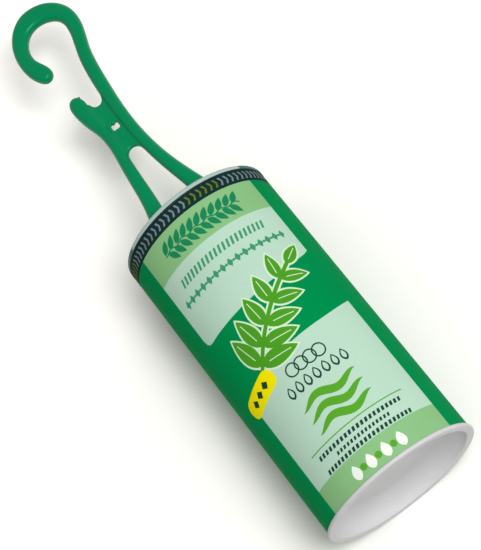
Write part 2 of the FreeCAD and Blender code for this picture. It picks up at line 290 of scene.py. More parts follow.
def merged(name: str, meshes: list[bpy.types.Mesh]) -> bpy.types.Mesh:
    """Joins several meshes, with their materials, into one.

    Args:
        name: the joined mesh's name.
        meshes: the meshes to join.

    Returns:
        One mesh that has each material once.
    """
    work = bmesh.new()
    materials = []
    for mesh in meshes:
        start = len(work.faces)
        work.from_mesh(mesh)
        work.faces.ensure_lookup_table()
        shift = {}
        for index, material in enumerate(mesh.materials):
            if material not in materials:
                materials.append(material)
            shift[index] = materials.index(material)
        for face in work.faces[start:]:
            face.material_index = shift.get(face.material_index, 0)
    joined = bpy.data.meshes.new(name)
    work.to_mesh(joined)
    work.free()
    for material in materials:
        joined.materials.append(material)
    return joined


def finished_mesh(piece: bpy.types.Object) -> bpy.types.Mesh:
    """Applies an object's modifiers and removes them.

    Args:
        piece: the object, which keeps the plain mesh.

    Returns:
        The plain mesh.
    """
    depsgraph = bpy.context.evaluated_depsgraph_get()
    mesh = bpy.data.meshes.new_from_object(piece.evaluated_get(depsgraph), depsgraph=depsgraph)
    piece.modifiers.clear()
    piece.data = mesh
    return mesh


def place(piece: bpy.types.Object, body: Body, node: str) -> None:
    """Hands a finished piece to the frame.

    Args:
        piece: the finished object.
        body: the body that it moves with.
        node: the CAD node that it stands for.
    """
    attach(piece, body.value)
    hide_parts(node)
    LOG.info("%s: %d faces, rides on %s", piece.name, len(piece.data.polygons), body.value)


def dress_node(node: str, material: bpy.types.Material) -> None:
    """Gives a CAD node that keeps its solid a finish of its own.

    Args:
        node: name of the CAD node.
        material: its finish.
    """
    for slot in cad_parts[node].material_slots:
        slot.material = material
    LOG.info("%s: %s", node, material.name)


# ---- Geometry Nodes -----------------------------------------------------------------------------


@dataclass(frozen=True)
class Repeat:
    """A mark or moulding repeated about the roll's axis, made by Geometry Nodes."""

    count: int
    step_degrees: float
    start_degrees: float = 0.0

    def tree(self, material: bpy.types.Material) -> bpy.types.NodeTree:
        """Node tree that copies its input about the X axis.

        Args:
            material: the finish that the copies get.

        Returns:
            The tree, with its sizes as named inputs.
        """
        tree = bpy.data.node_groups.new("repeat_about_axis", "GeometryNodeTree")
        sockets = tree.interface
        sockets.new_socket("Geometry", in_out="INPUT", socket_type="NodeSocketGeometry")
        for name in ("Count", "Start angle", "Step angle", "Axis height"):
            kind = "NodeSocketInt" if name == "Count" else "NodeSocketFloat"
            sockets.new_socket(name, in_out="INPUT", socket_type=kind)
        sockets.new_socket("Geometry", in_out="OUTPUT", socket_type="NodeSocketGeometry")
        entry = add_node(tree, "NodeGroupInput").outputs
        centred = add_node(tree, "GeometryNodeTransform", {
            "Geometry": entry["Geometry"],
            "Translation": add_node(tree, "ShaderNodeCombineXYZ", {
                "Z": add_node(tree, "ShaderNodeMath", {0: entry["Axis height"], 1: -1.0},
                              operation="MULTIPLY").outputs[0]}).outputs[0]})
        index = add_node(tree, "GeometryNodeInputIndex").outputs[0]
        turn = add_node(tree, "ShaderNodeMath", {0: index, 1: entry["Step angle"], 2: entry["Start angle"]},
                        operation="MULTIPLY_ADD")
        points = add_node(tree, "GeometryNodePoints", {
            "Count": entry["Count"],
            "Position": add_node(tree, "ShaderNodeCombineXYZ", {"Z": entry["Axis height"]}).outputs[0]})
        copies = add_node(tree, "GeometryNodeInstanceOnPoints", {
            "Points": points.outputs[0], "Instance": centred.outputs[0],
            "Rotation": add_node(tree, "ShaderNodeCombineXYZ", {"X": turn.outputs[0]}).outputs[0]})
        real = add_node(tree, "GeometryNodeRealizeInstances", {0: copies.outputs[0]})
        dressed = add_node(tree, "GeometryNodeSetMaterial", {
            "Geometry": real.outputs[0], "Material": material})
        add_node(tree, "NodeGroupOutput", {0: dressed.outputs[0]})
        return tree

    def made_from(self, mesh: bpy.types.Mesh, axis_z: float, material: bpy.types.Material) -> bpy.types.Mesh:
        """Repeats one mesh.

        Args:
            mesh: the first copy, standing at the top of the axis.
            axis_z: height of the axis, in millimetres.
            material: the finish that the copies get.

        Returns:
            All copies as one plain mesh.
        """
        carrier = new_object("repeat_carrier", mesh)
        modifier = carrier.modifiers.new("repeat", "NODES")
        modifier.node_group = self.tree(material)
        sizes = {
            "Count": self.count,
            "Start angle": math.radians(self.start_degrees),
            "Step angle": math.radians(self.step_degrees),
            "Axis height": axis_z * MM,
        }
        for item in modifier.node_group.interface.items_tree:
            if item.name in sizes:
                modifier[item.identifier] = sizes[item.name]
        result = finished_mesh(carrier)
        bpy.data.objects.remove(carrier)
        return result


# ---- finishes -----------------------------------------------------------------------------------

COAT_ROUGHNESS = 0.25
SCATTER_MM = 1.5  # how far light spreads inside milky polypropylene


def scale_for(size_mm: float) -> float:
    """Scale of a texture whose grains or cells are a size in millimetres."""
    return 1 / (size_mm * MM)


@dataclass(frozen=True)
class Finish:
    """A finish: the name of its material, its colour and how it shines."""

    name: str
    colour: str
    roughness: float = 0.4
    specular: float = 0.5
    tint: str = "#FFFFFF"
    coat: float = 0.0
    subsurface: float = 0.0

    def material(self) -> bpy.types.Material:
        """Builds a material from a Principled shader and the finish's own pattern.

        Returns:
            The new material.
        """
        material = bpy.data.materials.new(self.name)
        material.use_nodes = True
        tree = material.node_tree
        tree.nodes.clear()
        shader = add_node(tree, "ShaderNodeBsdfPrincipled", {
            "Base Color": linear(self.colour), "Roughness": self.roughness,
            "Specular IOR Level": self.specular, "Specular Tint": linear(self.tint),
            "Coat Weight": self.coat, "Coat Roughness": COAT_ROUGHNESS,
            "Subsurface Weight": self.subsurface, "Subsurface Radius": (1.0, 1.0, 1.0),
            "Subsurface Scale": SCATTER_MM * MM})
        add_node(tree, "ShaderNodeOutputMaterial", {"Surface": shader.outputs[0]})
        place_of = add_node(tree, "ShaderNodeTexCoord").outputs["Object"]
        for name, source in self.pattern(tree, place_of).items():
            tree.links.new(source, shader.inputs[name])
        material.diffuse_color = linear(self.colour)
        return material

    def pattern(self, tree: bpy.types.NodeTree, place_of: bpy.types.NodeSocket) -> Pattern:
        """What varies over the surface; a plain finish has nothing."""
        return {}

    def tinted(self, tree: bpy.types.NodeTree, mask: bpy.types.NodeSocket, darkest: float, lightest: float,
               colour: bpy.types.NodeSocket | None = None) -> bpy.types.NodeSocket:
        """Colour that varies in value with a mask.

        Args:
            tree: the material's node tree.
            mask: a value from 0 to 1.
            darkest: the colour's value where the mask is 0.
            lightest: the colour's value where the mask is 1.
            colour: the colour to vary; the finish's own if left out.

        Returns:
            The varied colour.
        """
        value = add_node(tree, "ShaderNodeMapRange", {"Value": mask, "To Min": darkest, "To Max": lightest})
        return add_node(tree, "ShaderNodeHueSaturation", {
            "Color": colour or linear(self.colour), "Value": value.outputs[0]}).outputs[0]


@dataclass(frozen=True)
class MouldedPlastic(Finish):
    """Injection-moulded polypropylene: even colour, soft gloss, faint flow marks and orange peel."""

    flow_mm: float = 9.0
    rub_mm: float = 3.0
    rub_roughness: float = 0.1
    peel_mm: float = 0.7
    peel_depth_mm: float = 0.006

    def pattern(self, tree: bpy.types.NodeTree, place_of: bpy.types.NodeSocket) -> Pattern:
        """Flow marks change the colour a little, rubbed patches the gloss, and orange peel the relief.

        Args:
            tree: the material's node tree.
            place_of: the place on the piece.

        Returns:
            The shader's inputs that vary, and what each is linked to.
        """
        flow = add_node(tree, "ShaderNodeTexNoise", {
            "Vector": place_of, "Scale": scale_for(self.flow_mm), "Detail": 2.0})
        rubbed = add_node(tree, "ShaderNodeTexNoise", {
            "Vector": place_of, "Scale": scale_for(self.rub_mm), "Detail": 3.0})
        gloss = add_node(tree, "ShaderNodeMapRange", {
            "Value": rubbed.outputs["Fac"], "From Min": 0.35, "From Max": 0.7,
            "To Min": self.roughness, "To Max": self.roughness + self.rub_roughness})
        peel = add_node(tree, "ShaderNodeTexNoise", {
            "Vector": place_of, "Scale": scale_for(self.peel_mm), "Detail": 2.0})
        relief = add_node(tree, "ShaderNodeBump", {
            "Height": peel.outputs["Fac"], "Distance": self.peel_depth_mm * MM, "Strength": 1.0})
        return {
            "Base Color": self.tinted(tree, flow.outputs["Fac"], 0.93, 1.06),
            "Roughness": gloss.outputs[0], "Normal": relief.outputs[0]}


@dataclass(frozen=True)
class PrintedFilm(Finish):
    """Ink under a thin matt laminate: flat colour with a faint screen and rub marks.

    A real screen's dots, about 0.17 mm apart, are too fine to show, so these lie 0.35 mm apart.
    """

    uneven_mm: float = 14.0
    screen_mm: float = 0.35
    scuff_mm: float = 3.0
    scuff_roughness: float = 0.12
    relief_mm: float = 1.6
    relief_depth_mm: float = 0.004

    def pattern(self, tree: bpy.types.NodeTree, place_of: bpy.types.NodeSocket) -> Pattern:
        """Uneven ink, a printing screen, and scuffs and a slight ripple in the laminate.

        Args:
            tree: the material's node tree.
            place_of: the place on the piece.

        Returns:
            The shader's inputs that vary, and what each is linked to.
        """
        uneven = add_node(tree, "ShaderNodeTexNoise", {
            "Vector": place_of, "Scale": scale_for(self.uneven_mm), "Detail": 2.0})
        screen = add_node(tree, "ShaderNodeTexVoronoi", {
            "Vector": place_of, "Scale": scale_for(self.screen_mm)})
        scuff = add_node(tree, "ShaderNodeTexNoise", {
            "Vector": place_of, "Scale": scale_for(self.scuff_mm), "Detail": 5.0})
        gloss = add_node(tree, "ShaderNodeMapRange", {
            "Value": scuff.outputs["Fac"], "From Min": 0.4, "From Max": 0.75,
            "To Min": self.roughness, "To Max": self.roughness + self.scuff_roughness})
        ripple = add_node(tree, "ShaderNodeTexNoise", {
            "Vector": place_of, "Scale": scale_for(self.relief_mm), "Detail": 2.0})
        relief = add_node(tree, "ShaderNodeBump", {
            "Height": ripple.outputs["Fac"], "Distance": self.relief_depth_mm * MM, "Strength": 1.0})
        ink = self.tinted(tree, uneven.outputs["Fac"], 0.96, 1.04)
        return {
            "Base Color": self.tinted(tree, screen.outputs["Distance"], 1.02, 0.97, ink),
            "Roughness": gloss.outputs[0], "Normal": relief.outputs[0]}


@dataclass(frozen=True)
class WrappedRim(Finish):
    """Label film pulled over the curled rim: pale along the panel, dark teal on the sides, both the print's
    colours greyed by a painted sheen on the curl.

    The panel's edges are angles about the roll's axis, from the top toward the side hook.
    """

    # Both rim colours are the print's colours, greyed by a painted sheen on the curled rim
    side_print_and_sheen: str = "#2E6F5E"
    band_colour: str = Ink.BAND.value
    band_end: float = 0.0
    axis_z: float = 29.7
    panel_left: float = 51.0
    panel_right: float = -54.0
    angle_blend: float = 1.5
    edge_blend_mm: float = 0.08
    wear_mm: float = 2.5
    crease_mm: float = 0.8
    crease_depth_mm: float = 0.006

    def pattern(self, tree: bpy.types.NodeTree, place_of: bpy.types.NodeSocket) -> Pattern:
        """The panel and the sides by the angle about the axis, and the band's edge along it.

        Args:
            tree: the material's node tree.
            place_of: the place on the piece.

        Returns:
            The shader's inputs that vary, and what each is linked to.
        """
        parts = add_node(tree, "ShaderNodeSeparateXYZ", {0: place_of}).outputs
        height = add_node(tree, "ShaderNodeMath", {0: parts["Z"], 1: self.axis_z * MM}, operation="SUBTRACT")
        angle = add_node(tree, "ShaderNodeMath", {0: parts["Y"], 1: height.outputs[0]}, operation="ARCTAN2")
        masks = []
        for edge, blend in ((self.panel_left, self.angle_blend), (self.panel_right, -self.angle_blend)):
            masks.append(add_node(tree, "ShaderNodeMapRange", {
                "Value": angle.outputs[0], "From Min": math.radians(edge - blend),
                "From Max": math.radians(edge + blend), "To Min": 1.0, "To Max": 0.0}).outputs[0])
        panel = add_node(tree, "ShaderNodeMath", {0: masks[0], 1: masks[1]}, operation="MULTIPLY")
        # The pale and the teal mixed here are print with a painted sheen in them
        print_and_sheen_colour = add_node(tree, "ShaderNodeMix", {
            "Factor": panel.outputs[0], 6: linear(self.side_print_and_sheen), 7: linear(self.colour)},
            data_type="RGBA")
        climb = add_node(tree, "ShaderNodeMapRange", {
            "Value": parts["X"], "From Min": (self.band_end - self.edge_blend_mm) * MM,
            "From Max": (self.band_end + self.edge_blend_mm) * MM})
        banded = add_node(tree, "ShaderNodeMix", {
            "Factor": climb.outputs[0], 6: linear(self.band_colour), 7: print_and_sheen_colour.outputs[2]},
            data_type="RGBA")
        wear = add_node(tree, "ShaderNodeTexNoise", {
            "Vector": place_of, "Scale": scale_for(self.wear_mm), "Detail": 4.0})
        crease = add_node(tree, "ShaderNodeTexNoise", {
            "Vector": place_of, "Scale": scale_for(self.crease_mm), "Detail": 2.0})
        relief = add_node(tree, "ShaderNodeBump", {
            "Height": crease.outputs["Fac"], "Distance": self.crease_depth_mm * MM, "Strength": 1.0})
        return {
            "Base Color": self.tinted(tree, wear.outputs["Fac"], 0.94, 1.04, banded.outputs[2]),
            "Normal": relief.outputs[0]}


@dataclass(frozen=True)
class Cardboard(Finish):
    """Spiral-wound greyboard: short fibres that lie along the tube."""

    fibre_mm: float = 0.5
    fibre_stretch: float = 0.35
    fibre_depth_mm: float = 0.05

    def pattern(self, tree: bpy.types.NodeTree, place_of: bpy.types.NodeSocket) -> Pattern:
        """Fibres darken and lighten the board, and roughen it.

        Args:
            tree: the material's node tree.
            place_of: the place on the piece.

        Returns:
            The shader's inputs that vary, and what each is linked to.
        """
        stretched = add_node(tree, "ShaderNodeMapping", {
            "Vector": place_of, "Scale": (self.fibre_stretch, 1.0, 1.0)})
        fibres = add_node(tree, "ShaderNodeTexNoise", {
            "Vector": stretched.outputs[0], "Scale": scale_for(self.fibre_mm), "Detail": 5.0})
        relief = add_node(tree, "ShaderNodeBump", {
            "Height": fibres.outputs["Fac"], "Distance": self.fibre_depth_mm * MM, "Strength": 1.0})
        return {
            "Base Color": self.tinted(tree, fibres.outputs["Fac"], 0.82, 1.12),
            "Normal": relief.outputs[0]}


@dataclass(frozen=True)
class WoundPaper(Finish):
    """Wound adhesive paper: its ends show the edges of the layers as fine rings.

    Single layers of 0.09 mm are too fine to show, so each ring stands for eight of them.
    """

    axis_z: float = 29.7
    ring_mm: float = 0.72
    ring_depth_mm: float = 0.02

    def pattern(self, tree: bpy.types.NodeTree, place_of: bpy.types.NodeSocket) -> Pattern:
        """Rings about the roll's axis; a wave texture at scale 1 has 20 radians of wave in a metre.

        Args:
            tree: the material's node tree.
            place_of: the place on the piece.

        Returns:
            The shader's inputs that vary, and what each is linked to.
        """
        centred = add_node(tree, "ShaderNodeMapping", {
            "Vector": place_of, "Location": (0.0, 0.0, -self.axis_z * MM)})
        rings = add_node(tree, "ShaderNodeTexWave", {
            "Vector": centred.outputs[0], "Scale": scale_for(self.ring_mm) * 2 * math.pi / 20,
            "Distortion": 0.6, "Detail": 1.0}, wave_type="RINGS", rings_direction="X")
        relief = add_node(tree, "ShaderNodeBump", {
            "Height": rings.outputs["Fac"], "Distance": self.ring_depth_mm * MM, "Strength": 1.0})
        return {
            "Base Color": self.tinted(tree, rings.outputs["Fac"], 0.88, 1.03),
            "Normal": relief.outputs[0]}


@dataclass(frozen=True)
class TackySheet(Finish):
    """Adhesive paper, tacky side out: glossy where the tack is thicker, dry and matt at both edges."""

    start: float = 0.0
    end: float = 100.0
    dry_edge: float = 3.0
    dry_roughness: float = 0.75
    edge_blend_mm: float = 0.15
    streak_mm: float = 3.0
    streak_stretch: float = 0.3
    streak_depth_mm: float = 0.015

    def pattern(self, tree: bpy.types.NodeTree, place_of: bpy.types.NodeSocket) -> Pattern:
        """The tack pools in soft streaks along the winding direction and stops short of the edges.

        Args:
            tree: the material's node tree.
            place_of: the place on the piece.

        Returns:
            The shader's inputs that vary, and what each is linked to.
        """
        stretched = add_node(tree, "ShaderNodeMapping", {
            "Vector": place_of, "Scale": (1.0, self.streak_stretch, self.streak_stretch)})
        streaks = add_node(tree, "ShaderNodeTexNoise", {
            "Vector": stretched.outputs[0], "Scale": scale_for(self.streak_mm),
            "Detail": 4.0}).outputs["Fac"]
        along = add_node(tree, "ShaderNodeSeparateXYZ", {0: place_of}).outputs["X"]
        middle = add_node(tree, "ShaderNodeMath", {0: along, 1: (self.start + self.end) / 2 * MM},
                          operation="SUBTRACT")
        away = add_node(tree, "ShaderNodeMath", {0: middle.outputs[0]}, operation="ABSOLUTE")
        edge = (self.end - self.start) / 2 - self.dry_edge
        tack = add_node(tree, "ShaderNodeMapRange", {
            "Value": away.outputs[0], "From Min": (edge - self.edge_blend_mm) * MM,
            "From Max": (edge + self.edge_blend_mm) * MM, "To Min": 1.0, "To Max": 0.0}).outputs[0]
        gloss = add_node(tree, "ShaderNodeMapRange", {
            "Value": streaks, "From Min": 0.35, "From Max": 0.65, "To Min": 0.28, "To Max": 0.5})
        matt = add_node(tree, "ShaderNodeMix", {
            "Factor": tack, 2: self.dry_roughness, 3: gloss.outputs[0]}, data_type="FLOAT")
        relief = add_node(tree, "ShaderNodeBump", {
            "Height": streaks, "Distance": self.streak_depth_mm * MM, "Strength": 1.0})
        coated = self.tinted(tree, tack, 1.03, 0.95)
        return {
            "Base Color": self.tinted(tree, streaks, 0.96, 1.03, coated),
            "Roughness": matt.outputs[0], "Normal": relief.outputs[0]}


# ---- handle side --------------------------------------------------------------------------------


@dataclass
class HookHandle:
    """The green moulding: two rounded strands, a thin web, a hanging hook and a side hook.

    Sizes are in millimetres.  The web has its two ends along the axis, the window its place along
    and across and its reach, and the gate mark a root, a tip and a radius at each.
    """

    voxel: float = 0.3
    blend_factor: float = 0.5
    blending: int = 8
    web_blending: int = 70
    web_fade: float = 4.0
    rail_fade: float = 1.2
    web: tuple[float, float] = (38.0, 69.0)
    web_rail: float = -1.2
    window: tuple[float, float, float] = (54.0, 0.6, 3.6)
    gate_root: Point = (70.0, 6.1, 30.2)
    gate_tip: Point = (73.0, 4.9, 30.8)
    gate_radii: tuple[float, float] = (0.85, 0.28)
    gate_flats: int = 16

    def web_share(self, point: Vector, axis_z: float) -> float:
        """How strongly a point is blended: fully on the web and the side hook's strand.

        Args:
            point: a point of the moulding, in millimetres.
            axis_z: height of the roll's axis.

        Returns:
            A share from 0 to 1 that fades out at the web's ends, at the other strand and the window.
        """
        ends = min(point.x - self.web[0], self.web[1] - point.x) / self.web_fade
        rail = (point.y - self.web_rail) / self.rail_fade
        along, across, reach = self.window
        hole = (math.hypot(point.x - along, point.y - across) - reach) / self.rail_fade
        return max(0.0, min(1.0, ends, rail, hole)) if point.z > axis_z else 0.0

    def build(self) -> bpy.types.Object:
        """Rounds the strands into the web, as a mould does, from a merged copy of the solid.

        Returns:
            The moulding as one closed piece.
        """
        work = bmesh.new()
        work.from_mesh(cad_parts["hook_handle"].data)
        bmesh.ops.remove_doubles(work, verts=work.verts, dist=1e-6)
        self.gate_mark(work)
        mesh = bpy.data.meshes.new("hook_moulding")
        work.to_mesh(mesh)
        work.free()
        piece = new_object("hook_moulding", mesh)
        skin = piece.modifiers.new("skin", "REMESH")
        skin.mode = "VOXEL"
        skin.voxel_size = self.voxel * MM
        mesh = finished_mesh(piece)
        axis_z = span_of("adhesive_roll").axis_z
        group = piece.vertex_groups.new(name="web")
        for vertex in mesh.vertices:
            share = self.web_share(vertex.co / MM, axis_z)
            if share > 0:
                group.add([vertex.index], share, "REPLACE")
        for name, rounds, limits in (("blend", self.blending, ""), ("web", self.web_blending, "web")):
            blend = piece.modifiers.new(name, "SMOOTH")
            blend.factor = self.blend_factor
            blend.iterations = rounds
            blend.vertex_group = limits
        smooth(finished_mesh(piece), sharp_degrees=60.0)
        piece.vertex_groups.clear()
        return piece

    def gate_mark(self, work: bmesh.types.BMesh) -> None:
        """Adds the small stub that the mould's gate leaves on the side hook's end.

        Args:
            work: the moulding before it is rounded.
        """
        root, tip = Vector(self.gate_root) * MM, Vector(self.gate_tip) * MM
        turn = (tip - root).to_track_quat("Z", "Y").to_matrix().to_4x4()
        wide, narrow = self.gate_radii
        bmesh.ops.create_cone(
            work, cap_ends=True, segments=self.gate_flats, radius1=wide * MM, radius2=narrow * MM,
            depth=(tip - root).length, matrix=Matrix.Translation((root + tip) / 2) @ turn)

    def dress(self, piece: bpy.types.Object) -> None:
        """Gives the handle its glossy green polypropylene.

        Args:
            piece: the handle.
        """
        # Moulded polypropylene with a polished mould: deep even green, small soft highlights
        finish = MouldedPlastic("moulded_green_polypropylene", "#008653", roughness=0.2, specular=0.4,
                                tint="#60D8A8")
        piece.data.materials.append(finish.material())
        place(piece, Body.HANDLE, "hook_handle")


@dataclass
class FlangeAndSpindle:
    """The disc that closes the cover's mouth, and the axle that the roller snaps onto."""

    def dress(self) -> None:
        """The two rigid mouldings keep their solids and get a satin green finish."""
        # Same polypropylene from a finely blasted mould: satin rather than glossy
        finish = MouldedPlastic("satin_green_polypropylene", "#008A54", roughness=0.45, specular=0.25,
                                tint="#7FE0B4", peel_mm=0.4)
        material = finish.material()
        for node in ("end_flange", "axle_spindle"):
            dress_node(node, material)


# ---- roller -------------------------------------------------------------------------------------


@dataclass
class RollerHub:
    """Sleeve with ribs, webs and a bearing, closed by a dished cap."""

    sleeve_radius: float = 18.2
    sleeve_wall: float = 1.4
    collar_thickness: float = 1.2
    bearing_bore: float = 6.06
    bearing_wall: float = 1.5
    bearing_start: float = 6.2
    bearing_gap: float = 5.4
    rib_count: int = 12
    rib_width: float = 1.6
    web_count: int = 6
    web_thickness: float = 1.2
    web_bite: float = 0.4
    rib_bite: float = 0.5
    core_wall: float = 1.2
    core_fit: float = 0.05
    edge: float = 0.25
    bearing_flats: int = 96
    cap_fit: float = 0.05
    cap_spigot_wall: float = 1.2
    cap_boss: float = 3.0
    cap_floor: tuple[float, float] = (4.2, 12.0)
    cap_ring: float = 13.6
    cap_dish_depth: float = 0.8
    cap_edge: float = 0.7

    def build(self, material: bpy.types.Material) -> bpy.types.Object:
        """Turns the sleeve and bearing, and repeats the webs and the grip ribs round them.

        Args:
            material: the hub's plastic.

        Returns:
            The hub as one piece.
        """
        span = span_of("roller_hub")
        inner = self.sleeve_radius - self.sleeve_wall
        edge = self.edge
        rib_end = span.end - self.collar_thickness
        sleeve = lathe("sleeve", rounded([
            (span.start, inner, edge), (span.end, inner, edge),
            (span.end, span.radius, edge), (rib_end, span.radius, edge),
            (rib_end, self.sleeve_radius, 0.0), (span.start, self.sleeve_radius, edge)],
            steps=3), span.axis_z)
        first, last = span.start + self.bearing_start, span.end - self.bearing_gap
        outer = self.bearing_bore + self.bearing_wall
        bearing = lathe("bearing", rounded([
            (first, self.bearing_bore, edge), (last, self.bearing_bore, edge),
            (last, outer, edge), (first, outer, edge)], steps=3), span.axis_z, self.bearing_flats)
        web = block("web", (first, -self.web_thickness / 2, span.axis_z + outer - self.web_bite),
                    (last, self.web_thickness / 2, span.axis_z + inner + self.web_bite))
        rib_top = span_of("paper_core").radius - self.core_wall - self.core_fit
        rib = block("rib", (span.start, -self.rib_width / 2, span.axis_z + inner + self.rib_bite),
                    (rib_end, self.rib_width / 2, span.axis_z + rib_top), edge)
        webs = Repeat(self.web_count, 360 / self.web_count).made_from(web, span.axis_z, material)
        ribs = Repeat(self.rib_count, 360 / self.rib_count).made_from(rib, span.axis_z, material)
        for mesh in (sleeve, bearing):
            mesh.materials.append(material)
        return new_object("hub", merged("hub", [sleeve, bearing, webs, ribs]))

    def cap(self, material: bpy.types.Material) -> bpy.types.Object:
        """Turns the dished end cap, with its spigot inside the sleeve.

        Args:
            material: the hub's plastic.

        Returns:
            The cap.
        """
        span = span_of("hub_end_cap")
        hub = span_of("roller_hub")
        spigot = self.sleeve_radius - self.sleeve_wall - self.cap_fit
        inside = spigot - self.cap_spigot_wall
        floor = span.start + self.cap_dish_depth
        outline = rounded([
            (span.start, 0.0, 0.0), (span.start, self.cap_boss, 0.4), (floor, self.cap_floor[0], 0.4),
            (floor, self.cap_floor[1], 0.6), (span.start, self.cap_ring, 0.6),
            (span.start, span.radius, self.cap_edge),
            (hub.start, span.radius, 0.2), (hub.start, spigot, 0.0), (span.end, spigot, 0.3),
            (span.end, inside, 0.3), (hub.start, inside, 0.3), (hub.start, 0.0, 0.0)])
        mesh = lathe("hub_cap", outline, span.axis_z)
        mesh.materials.append(material)
        return new_object("hub_cap", mesh)

    def dress(self) -> None:
        """Gives both pieces natural white polypropylene."""
        # Unpigmented polypropylene: milky white, satin, light scatters a little way in
        material = MouldedPlastic("moulded_natural_polypropylene", "#E4E6E0", roughness=0.38,
                                  subsurface=0.15).material()
        place(self.build(material), Body.ROLLER, "roller_hub")
        place(self.cap(material), Body.ROLLER, "hub_end_cap")


@dataclass
class Refill:
    """The refill: cardboard core, wound adhesive paper and the outermost sheet."""

    dry_edge: float = 3.0

    def dress(self) -> None:
        """All three keep their solids, and get board, wound paper and tacky paper."""
        axis = span_of("paper_core").axis_z
        width = span_of("outer_sheet")
        # Recycled greyboard: warm grey-brown, rough, with short fibres
        board = Cardboard("greyboard_core", "#A88D6B", roughness=0.85).material()
        # Edges of about seventy paper layers: off-white with faint grey rings
        wound = WoundPaper("wound_adhesive_paper", "#EDEBE3", roughness=0.6, axis_z=axis).material()
        # Tacky side outwards: white paper under a thin shiny coat of adhesive
        sheet = TackySheet("tacky_paper_sheet", "#F1F1EA", roughness=0.35, coat=0.3, start=width.start,
                           end=width.end, dry_edge=self.dry_edge).material()
        dress_node("paper_core", board)
        dress_node("adhesive_roll", wound)
        dress_node("outer_sheet", sheet)


# ---- cover --------------------------------------------------------------------------------------


@dataclass
class CoverTube:
    """Stiff tube with a curled rim round its mouth."""

    bore_radius: float = 27.2
    tube_radius: float = 28.8
    step_radius: float = 28.0
    step_from_mouth: float = 2.75
    rim_length: float = 2.1
    rim_round: float = 0.9
    edge: float = 0.2
    inner_edge: float = 0.15
    mouth_edge: float = 0.3
    flats: int = 240
    band_climb: float = 0.35
    film_lap: float = 0.05

    def build(self) -> bpy.types.Object:
        """Turns the tube with its seat for the flange and its curled rim.

        Returns:
            The tube.
        """
        span = span_of("cover_tube")
        step = span.end - self.step_from_mouth
        rim = span.end - self.rim_length
        outline = rounded([
            (span.start, self.bore_radius, self.edge), (step, self.bore_radius, self.inner_edge),
            (step, self.step_radius, 0.0), (span.end, self.step_radius, self.mouth_edge),
            (span.end, span.radius, self.rim_round), (rim, span.radius, self.inner_edge),
            (rim, self.tube_radius, 0.0), (span.start, self.tube_radius, self.edge)], steps=6)
        return new_object("cover_shell", lathe("cover_shell", outline, span.axis_z, self.flats))

    def dress(self, piece: bpy.types.Object) -> None:
        """White tube, with the film's print on the outside of the rim.

        Args:
            piece: the tube.
        """
        span = span_of("cover_tube")
        # Extruded polypropylene tube: opaque white, satin
        shell = MouldedPlastic("extruded_white_polypropylene", "#E9ECE8", roughness=0.4).material()
        # The label's film turned over the rim: pale over the panel, dark teal on the sides, both greyed by a
        # painted sheen on the curl
        rim = WrappedRim("film_over_rim_painted_sheen", "#B5C8C2", roughness=0.4, specular=0.1, axis_z=span.axis_z,
                         band_end=span.end - self.rim_length + self.band_climb).material()
        mesh = piece.data
        mesh.materials.append(shell)
        mesh.materials.append(rim)
        start = (span.end - self.rim_length - self.film_lap) * MM
        inside = (self.step_radius + self.mouth_edge) * MM
        for face in mesh.polygons:
            away = math.hypot(face.center.y, face.center.z - span.axis_z * MM)
            if face.center.x > start and away > inside:
                face.material_index = 1
        place(piece, Body.COVER, "cover_tube")


@dataclass
class BasePlug:
    """Moulded white plug: a rounded lip, a spigot inside the tube and a smooth dish."""

    lip_thickness: float = 1.4
    lip_round: float = 0.55
    rim_width: float = 3.1
    spigot_radius: float = 27.17
    spigot_wall: float = 1.5
    dish_depth: float = 7.2
    dish_skin: float = 1.3
    dish_shoulder: float = 9.0
    dish_steps: int = 24
    dish_lead: tuple[float, float] = (3.0, 0.3)
    flats: int = 240

    def bowl(self, start: float, floor: float, depth: float, shoulder: float) -> Outline:
        """Quarter of an ellipse from the dish's rim to its floor.

        Args:
            start: where the rim lies along the axis.
            floor: radius of the flat floor.
            depth: from the rim to the floor.
            shoulder: from the floor's radius to the rim's.

        Returns:
            Its points, along the axis and away from it.
        """
        turns = [math.pi / 2 * step / self.dish_steps for step in range(self.dish_steps + 1)]
        return [(start + depth * math.sin(turn), floor + shoulder * math.cos(turn)) for turn in turns]

    def build(self) -> bpy.types.Object:
        """Turns the plug, with a skin of even thickness under its dish.

        The lip's inner edge rounds off toward a point a little way down the dish, which is left out.

        Returns:
            The plug.
        """
        span = span_of("base_plug")
        lip_end = span.start + self.lip_thickness
        mouth = span.radius - self.rim_width
        floor = mouth - self.dish_shoulder
        dish = self.bowl(span.start, floor, self.dish_depth, self.dish_shoulder)
        depth = self.dish_depth + self.dish_skin
        inside = self.spigot_radius - self.spigot_wall
        back = [point for point in self.bowl(span.start, floor, depth, mouth + self.dish_skin - floor)
                if point[1] < inside]
        lip = rounded([
            (lip_end, self.spigot_radius, 0.0), (lip_end, span.radius, self.lip_round),
            (span.start, span.radius, self.lip_round), (span.start, mouth, self.lip_round),
            (span.start + self.dish_lead[0], mouth - self.dish_lead[1], 0.0)], steps=6)[:-1]
        soft = [point for point in dish if point[0] > span.start + self.lip_round]
        outline = lip + soft + [(span.start + self.dish_depth, 0.0), (span.start + depth, 0.0)]
        outline += back[::-1] + [(span.end, inside), (span.end, self.spigot_radius)]
        return new_object("base_cup", lathe("base_cup", outline, span.axis_z, self.flats))

    def dress(self, piece: bpy.types.Object) -> None:
        """Gives the plug its satin white polypropylene.

        Args:
            piece: the plug.
        """
        # Moulded white polypropylene, a touch grey, with a very soft sheen
        finish = MouldedPlastic("moulded_white_polypropylene", "#D3D3D4", roughness=0.5, specular=0.25,
                                subsurface=0.05)
        piece.data.materials.append(finish.material())
        place(piece, Body.COVER, "base_plug")


# ---- label --------------------------------------------------------------------------------------

